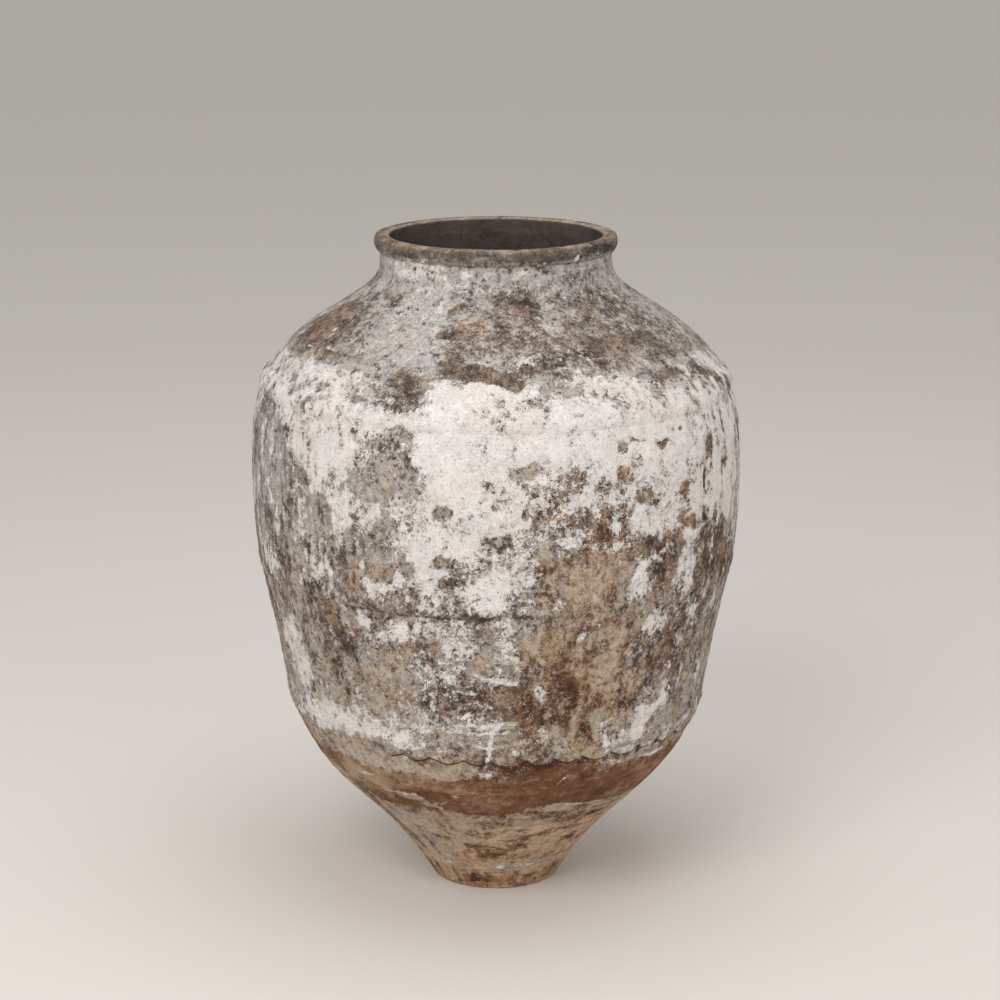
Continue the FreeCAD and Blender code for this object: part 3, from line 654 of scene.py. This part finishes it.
# the foot's wash and clay tints are lighter and warmer: partly its own beige wash, partly painted warm
# bounce light from the floor
footLook = dict(wallLook, warmClay=[(66, 39, 24), (120, 80, 52), (178, 142, 105)], greyWash=(198, 193, 188),
                warmWash=(212, 184, 153), bump=1.4, speckle=0.36, grit=0.34, pepper=0.5, salt=0.45,
                streak=(1.3, 1.3, 0.25), coats=0.25)
rimLook = dict(wallLook, greyClay=[(52, 45, 41), (96, 86, 79), (140, 129, 120)],
               warmClay=[(62, 45, 34), (108, 84, 66), (150, 128, 108)], greyWash=(160, 153, 146),
               washCover=0.7, bareRough=0.72, speckle=0.13, pepper=0.3, salt=0.15, streak=(0.25, 0.25, 1.2))
shoulderLook = dict(wallLook, greyWash=(201, 197, 194), washCover=0.95, streak=(0.5, 0.5, 1.2))
wallMaterial = limedClay("limedWall", wallLook)
shoulderMaterial = limedClay("limedShoulder", shoulderLook)
bandMaterial = limedClay("limedBand", wallLook)
footMaterial = limedClay("footClay", footLook)
rimMaterial = limedClay("rimClay", rimLook)
print("materials made")


# Edges and dents of the bands, which the wall's painted crevice shade and dirt follow too
def lobeShares(angle, count, start, shift, seed):
    moved = np.arange(count) + np.random.default_rng(seed).uniform(-shift, shift, count)
    cusps = start + moved * 360 / count
    cusps = np.concatenate((cusps, [cusps[0] + 360]))
    turned = (angle - cusps[0]) % 360 + cusps[0]
    index = np.clip(np.searchsorted(cusps, turned, side="right") - 1, 0, count - 1)
    return 2 * (turned - cusps[index]) / (cusps[index + 1] - cusps[index]) - 1, index


lowerBand = {"height": 33, "projection": 3.8, "lip": 9, "low": 228.5, "tilt": 3, "lobes": 43,
             "firstLobe": 7.5, "lobeShift": 0.09, "lobeRise": 7.5, "lobeSag": 1.3, "dent": 1.6,
             "crevice": 0.9, "least": 0.6, "step": 0.68, "seed": 61}
middleBand = {"height": 24, "projection": 3.2, "lip": 7, "low": 419, "lift": 2, "tip": 3,
              "crevice": 0.3, "least": 0.45, "step": 0.4, "seed": 62}
shoulderBand = {"height": 30, "projection": 4.6, "lip": 12, "low": 641, "dents": 50, "dentShift": 0.12,
                "dent": 2.2, "crevice": 0, "step": 0, "seed": 63}


def lowerLobes(angle):
    return lobeShares(angle, lowerBand["lobes"], lowerBand["firstLobe"], lowerBand["lobeShift"], 64)


def lowerTilt(angle):
    return lowerBand["low"] - lowerBand["tilt"] * np.sin(np.radians(angle))


def lowerEdge(angle):
    across, index = lowerLobes(angle)
    most = lowerBand["lobeSag"]
    sag = np.random.default_rng(65).uniform(-most, most, lowerBand["lobes"])[index]
    return lowerTilt(angle) + lowerBand["lobeRise"] * np.abs(across) ** 1.9 + sag * (1 - across**2)


def lowerTop(angle):
    return lowerTilt(angle) + lowerBand["height"]


def lowerDents(angle, share):
    across = lowerLobes(angle)[0]
    return lowerBand["dent"] * np.exp(-(across / 0.55) ** 2 - ((share - 0.32) / 0.2) ** 2)


def lipShows(angle):  # limed over on the left
    return 1 - within(-angle, 26, 36, 78, 95)


def wavy(angle, seed, size):
    turn = np.radians(angle)
    circle = 300 * np.stack((np.sin(turn), -np.cos(turn), 0 * turn), axis=1)
    return size * cloud(circle, 70, seed)


def middleEdge(angle):
    level = middleBand["low"] + middleBand["lift"] + middleBand["tip"] * np.cos(np.radians(angle))
    return level + wavy(angle, 66, 1.8) + wavy(angle * 5, 71, 1.3)


def middleTop(angle):
    return middleBand["low"] + middleBand["height"] + wavy(angle, 67, 2)


def middleShows(angle):
    return smooth(wavy(angle * 2, 72, 1) + 0.9 * within(angle, -55, -40, 0, 10), 0.2, 0.9)


def shoulderEdge(angle):
    return shoulderBand["low"] + wavy(angle, 68, 2)


def shoulderTop(angle):
    return shoulderBand["low"] + shoulderBand["height"] + wavy(angle, 69, 2)


def shoulderDents(angle, share):
    across = lobeShares(angle, shoulderBand["dents"], 0, shoulderBand["dentShift"], 70)[0]
    return shoulderBand["dent"] * np.exp(-(across / 0.6) ** 2 - ((share - 0.4) / 0.28) ** 2)


# Rings of the wall: piece, node, slot, material, joints, steps round and cuts in each
wallRings = {
    "footCone": ("foot_cone", "foot_clay", footMaterial, "floor", "foot", 80, 6),
    "lowerWall": ("lower_wall", "limed_wall", wallMaterial, "foot", "lower", 90, 7),
    "lowerBelly": ("lower_belly", "limed_wall", wallMaterial, "lower", "middle", 100, 7),
    "upperBelly": ("upper_belly", "limed_wall", wallMaterial, "middle", "shoulder", 100, 7),
    "shoulderRing": ("shoulder", "limed_wall", shoulderMaterial, "shoulder", "neck", 95, 7),
    "neckCollar": ("neck_collar", "limed_wall", shoulderMaterial, "neck", "rim", 80, 6),
}
wallRows = {"spacing": 2.5, "fineSpacing": 1.2, "innerSpacing": 12,
            "fineZones": [(212, 238), (412, 428)]}  # under the lips of the lower and middle bands


def outerHeights(low, high):
    zones = wallRows["fineZones"]
    stops = sorted({low, high} | {edge for zone in zones for edge in zone if low < edge < high})
    rows = []
    for start, end in zip(stops, stops[1:]):
        isFine = any(first <= start and end <= last for first, last in zones)
        rows.append(heightsBetween(start, end, wallRows["fineSpacing" if isFine else "spacing"])[:-1])
    return np.concatenate(rows + [[high]])


def wallProfile(low, high):
    profile = [(wallRadius(height), height) for height in outerHeights(low, high)]
    for height in heightsBetween(low, high, wallRows["innerSpacing"])[::-1]:
        profile.append([np.interp(height, outline[:, 1], innerLine[:, side]) for side in (0, 1)])
    return profile


# painted soft shadow cast by the lower band's lip on the wall below it, on the right
def shadowUnderLip(angle, height):
    return within(lowerEdge(angle) - height, -2, 1, 3, 15) * smooth(angle, -12, 2)


def creviceShadeAndDirt(angle, height):  # painted shade and dirt along the lips of the bands, faint under the shoulder band
    dirtAndShade = 1.3 * lipShows(angle) * within(lowerEdge(angle) - height, -6, -4, 1.8, 5)
    dirtAndShade = dirtAndShade + 0.5 * middleShows(angle) * within(middleEdge(angle) - height, -6, -4, 1.5, 5)
    broken = smooth(wavy(angle * 3, 73, 1), -0.1, 0.5)
    return dirtAndShade + 0.45 * broken * (1 - smooth(np.abs(shoulderEdge(angle) + 2 - height), 1.2, 3.5))


for name, (node, slot, material, lowJoint, highJoint, steps, cuts) in wallRings.items():
    low, high = joints[lowJoint], joints[highJoint]
    mesh = closedRing(name, wallProfile(low, high), steps, cuts)
    radius, angle, height = placesOf(mesh)
    shade = radius < wallRadius(height) - 2
    points, fields = fieldsAt(angle, height, shade)
    # painted crevice shade and dirt under the band lips, on the outside only
    fields["darkDirtAndShade"] += np.where(shade, 0, creviceShadeAndDirt(angle, height))
    # painted shadow under the lower band's lip: darker clay and less wash
    lipShadow = 0.5 * shadowUnderLip(angle, height)
    fields["clayTone"] -= lipShadow
    fields["limeWash"] -= lipShadow
    depth = np.where(shade, 0.8 * cloud(points, 40, 31), reliefOf(angle, height, points, fields))
    outwards, upwards = wallOut(height)
    ends = (height <= low + 0.01) & (lowJoint == "floor")
    finishMesh(mesh, radius + depth * outwards, angle, height + np.where(ends, 0, depth * upwards), fields)
    addPiece(name, mesh, node, slot, material)

# Base disc
baseDisc = {"edge": 2.4, "steps": 60, "cuts": 6}
floorTop = joints["floor"]
edgeRadius = footRadius - baseDisc["edge"]
baseProfile = [(0, 0), (30, 0), (60, 0), (edgeRadius, 0)]
baseProfile += [(wallRadius(height), height) for height in (0.9, *heightsBetween(3, floorTop, 2))]
baseProfile += [(60, floorTop), (0, floorTop)]
mesh = closedRing("baseDisc", baseProfile, baseDisc["steps"], baseDisc["cuts"])
radius, angle, height = placesOf(mesh)
flat = (radius < edgeRadius + 0.1) | (height < 0.1)
points, fields = fieldsAt(angle, height, np.zeros(len(radius), bool))
depth = np.where(flat, 0, reliefOf(angle, height, points, fields))
finishMesh(mesh, radius + depth * wallOut(height)[0], angle, height, fields)
addPiece("baseDisc", mesh, "base_disc", "foot_clay", footMaterial)

# Rolled rim
rimRoll = {"steps": 90, "cuts": 7, "projection": 5.8, "widestDrop": 10, "topInset": 2.6, "edgeRound": 4,
           "innerRound": 4, "wobble": 0.6, "chips": 1.4}


def arc(centreRadius, centreHeight, size, start, end, count):
    return [(centreRadius + size * math.cos(turn), centreHeight + size * math.sin(turn))
            for turn in np.linspace(start, end, count)]


def rimProfile():
    widest, level = neckRadius + rimRoll["projection"], rimTop - rimRoll["widestDrop"]
    tuckDrop = level - joints["rim"]
    tuckRadius = (rimRoll["projection"]**2 + tuckDrop**2) / (2 * rimRoll["projection"])
    faceRadius = (rimRoll["topInset"]**2 + rimRoll["widestDrop"]**2) / (2 * rimRoll["topInset"])
    edge, inner = rimRoll["edgeRound"], rimRoll["innerRound"]
    edgeLevel = rimTop - edge
    meet = math.asin((edgeLevel - level) / (faceRadius - edge))
    edgeCentre = widest - faceRadius + (faceRadius - edge) * math.cos(meet)
    rows = arc(widest - tuckRadius, level, tuckRadius, -math.asin(tuckDrop / tuckRadius), 0, 9)
    rows += arc(widest - faceRadius, level, faceRadius, 0, meet, 7)[1:]
    rows += arc(edgeCentre, edgeLevel, edge, meet, math.pi / 2, 7)[1:]
    rows += [(radius, rimTop) for radius in np.linspace(edgeCentre, mouthRadius + inner, 6)[1:-1]]
    rows += arc(mouthRadius + inner, rimTop - inner, inner, math.pi / 2, math.pi, 6)
    rows += [(mouthRadius, height) for height in np.linspace(rimTop - inner, joints["rim"], 7)[1:]]
    return rows


mesh = closedRing("rimRoll", rimProfile(), rimRoll["steps"], rimRoll["cuts"])
radius, angle, height = placesOf(mesh)
turn = np.radians(angle)
points = np.stack((radius * np.sin(turn), -radius * np.cos(turn), height), axis=1)
fields = fieldsAt(angle, height, radius < mouthRadius + 0.5)[1]
rubbedAndLitEdge = smooth(height, rimTop - 4, rimTop - 1)  # the lip's inner edge, rubbed pale, with a painted highlight where it catches the light
rubbedAndLitEdge = rubbedAndLitEdge * (1 - smooth(radius, mouthRadius + 3, mouthRadius + 8))
fields["clayTone"] += 0.45 * rubbedAndLitEdge
fields["limeWash"] += 0.3 * rubbedAndLitEdge
free = smooth(height, joints["rim"], joints["rim"] + 5)
wear = rimRoll["chips"] * smooth(clouds(points, 16, 3, 0.6, 41), 0.35, 0.9)
swell = rimRoll["wobble"] * cloud(points, 60, 42) + 0.35 * cloud(points, 9, 43) - 0.4
outside = smooth(radius, mouthRadius, mouthRadius + 10)
drop = 0.3 + 0.4 * cloud(points, 80, 44) + 0.5 * wear
finishMesh(mesh, radius + free * (swell - wear) * (2 * outside - 1), angle,
           height - free * smooth(height, rimTop - 12, rimTop - 1) * drop, fields)
addPiece("rimRoll", mesh, "rim_roll", "rim_clay", rimMaterial)

# A band is turned as a plain ring whose heights are shares of the band, then laid on the wall
bandRing = {"radius": 300, "bulge": 10, "back": 4, "height": 100, "buried": 0.02, "rows": 22, "steps": 125,
            "cuts": 7}


def bulgeOf(share, lipShare, step):
    rising = step + (1 - step) * np.sin(math.pi / 2 * np.clip(share / lipShare, 0, 1)) ** (1 - 0.6 * step)
    falling = np.cos(math.pi / 2 * np.clip((share - lipShare) / (1 - lipShare), 0, 1))
    return np.where(share < lipShare, rising, falling)


def bandMesh(name):
    buried = bandRing["buried"]
    profile = []
    for share in (-buried, *np.linspace(0, 1, bandRing["rows"]) ** 1.5, 1 + buried):
        bulge = bandRing["bulge"] * math.sin(math.pi * (share + buried) / (1 + 2 * buried)) + 1
        profile.append((bandRing["radius"] + bulge, share * bandRing["height"]))
    profile += [(bandRing["radius"] - bandRing["back"], share * bandRing["height"]) for share in (1, 0.5, 0)]
    return closedRing(name, profile, bandRing["steps"], bandRing["cuts"])


def layBand(name, node, band, lowEdge, highEdge, shows=None, dents=None):
    mesh = bandMesh(name)
    radius, angle, height = placesOf(mesh)
    share = height / bandRing["height"]
    onBand = np.clip(share, 0, 1)
    low, high = lowEdge(angle), highEdge(angle)
    level = low + onBand * (high - low)
    points, fields = fieldsAt(angle, level, np.zeros(len(radius), bool))
    strength = band["least"] + (1 - band["least"]) * shows(angle) if shows else 1
    # painted crevice shade and dirt on the band's lowest rows, along its lip
    fields["darkDirtAndShade"] += band["crevice"] * strength * (1 - smooth(share, 0, 0.07))
    depth = reliefOf(angle, level, points, fields)
    thick = band["projection"] * bulgeOf(onBand, band["lip"] / band["height"], band["step"])
    thick = thick * (1 + 0.25 * cloud(points, 40, band["seed"])) * strength
    if dents:
        thick = thick - dents(angle, onBand)
    depth = np.where((share < 0) | (share > 1), -3, depth + np.maximum(thick, -0.3))
    depth = np.where(radius < bandRing["radius"], -4.5, depth)
    outwards, upwards = wallOut(level)
    finishMesh(mesh, wallRadius(level) + depth * outwards, angle, level + depth * upwards, fields)
    addPiece(name, mesh, node, "limed_band", bandMaterial)


layBand("lowerBand", "lower_band", lowerBand, lowerEdge, lowerTop, lipShows, lowerDents)
layBand("middleBand", "middle_band", middleBand, middleEdge, middleTop, middleShows)
layBand("shoulderBand", "shoulder_band", shoulderBand, shoulderEdge, shoulderTop, dents=shoulderDents)

# Floor, light and camera
floorMesh = bpy.data.meshes.new("studioFloor")
build = bmesh.new()
bmesh.ops.create_grid(build, x_segments=1, y_segments=1, size=40)
build.to_mesh(floorMesh)
build.free()
floor = bpy.data.objects.new("studioFloor", floorMesh)
scene.collection.objects.link(floor)
floorMaterial = bpy.data.materials.new("paleFloor")
floorMaterial.use_nodes = True
floorInputs = floorMaterial.node_tree.nodes["Principled BSDF"].inputs
floorInputs["Base Color"].default_value = toLinear(232, 227, 221)
floorInputs["Roughness"].default_value = 0.9
floorMesh.materials.append(floorMaterial)

# Lamps: place, size and power
studioLight = {
    "key": ((-1.5, -3.2, 3.0), 2.4, 74),
    "fill": ((2.4, -3.2, 1.7), 2.6, 22),
    "top": ((0.2, -0.2, 3.6), 2.6, 30),
}
lightAim = Vector((0, 0, 0.42))
for name, (place, size, power) in studioLight.items():
    lamp = bpy.data.lights.new(name, "AREA")
    lamp.shape = "DISK"
    lamp.size = size
    lamp.energy = power
    holder = bpy.data.objects.new(name, lamp)
    scene.collection.objects.link(holder)
    holder.location = place
    holder.rotation_euler = (lightAim - Vector(place)).to_track_quat("-Z", "Y").to_euler()
world = bpy.data.worlds.new("studioWorld")
world.use_nodes = True
backdrop = world.node_tree.nodes["Background"].inputs
backdrop["Color"].default_value = toLinear(236, 234, 232)
backdrop["Strength"].default_value = 0.6
scene.world = world
scene.view_settings.view_transform = "Standard"

photoView = {"place": (0, -3.332, 1.328), "tilt": 75.895, "lens": 98.1, "sensor": 36, "shift": 0.004}
photoCamera = bpy.data.cameras.new("photoCamera")
photoCamera.lens = photoView["lens"]
photoCamera.sensor_width = photoView["sensor"]
photoCamera.shift_x = photoView["shift"]
viewer = bpy.data.objects.new("photoCamera", photoCamera)
viewer.location = photoView["place"]
viewer.rotation_euler = (math.radians(photoView["tilt"]), 0, 0)
scene.collection.objects.link(viewer)
scene.camera = viewer
print("stage, light and camera made")
